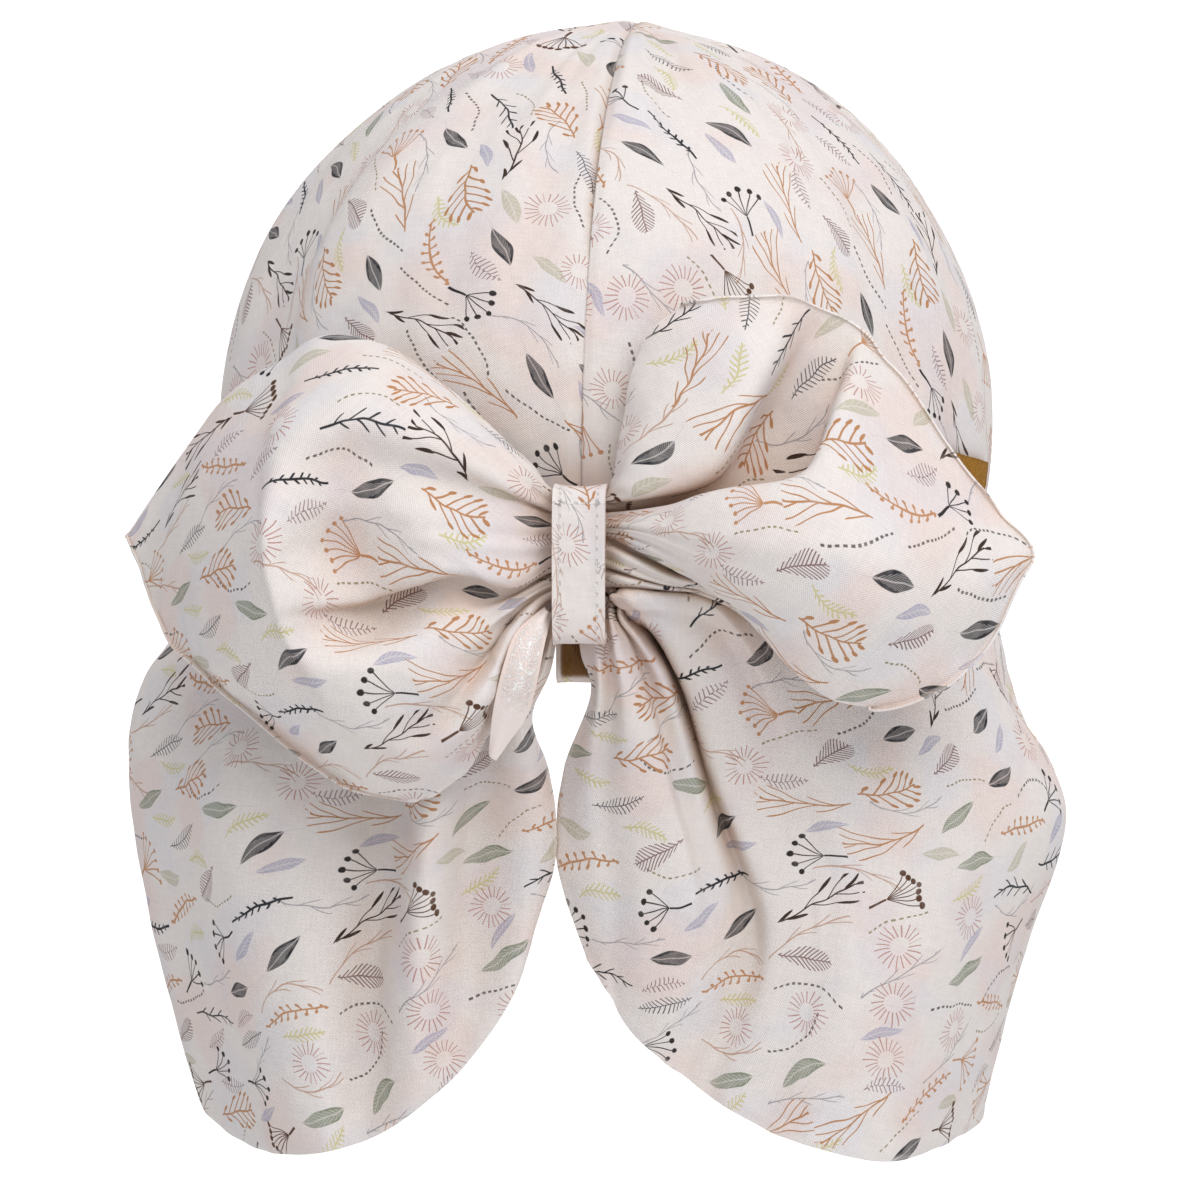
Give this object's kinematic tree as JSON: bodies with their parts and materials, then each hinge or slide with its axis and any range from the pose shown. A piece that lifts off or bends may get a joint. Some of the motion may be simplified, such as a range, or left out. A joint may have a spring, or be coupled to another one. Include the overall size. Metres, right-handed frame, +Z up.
{
  "type": "neck flap sun hat",
  "caption": "Child's soft cotton sun hat with a domed gored crown, a front peak, a gathered neck flap and a large bow held by a strap loop.",
  "frame": {"origin": "middle of the head opening, in the plane of the crown's rim", "axes": "+Z up through the crown; +Y to the front, where the peak is; -Y to the back, where the bow is; +X to the right of someone who looks at the bow"},
  "size_m": [0.1952, 0.2645, 0.2315],
  "materials": {
    "printed_cotton": "matt cotton weave with a fine botanical print",
    "plain_cotton": "wrong side of the cotton, unprinted, with an overlocked edge",
    "mustard_label": "smooth woven patch, mustard"
  },
  "bodies": {
    "root": {"crown_back_right": "printed_cotton", "crown_front_right": "printed_cotton", "crown_front_left": "printed_cotton", "crown_back_left": "printed_cotton", "peak": "printed_cotton", "neck_flap_left": "printed_cotton", "neck_flap_right": "printed_cotton", "bow_wing_left": "printed_cotton", "bow_wing_right": "printed_cotton", "turned_edge": "plain_cotton", "bow_loop": "printed_cotton", "side_label": "mustard_label"}
  },
  "joints": []
}
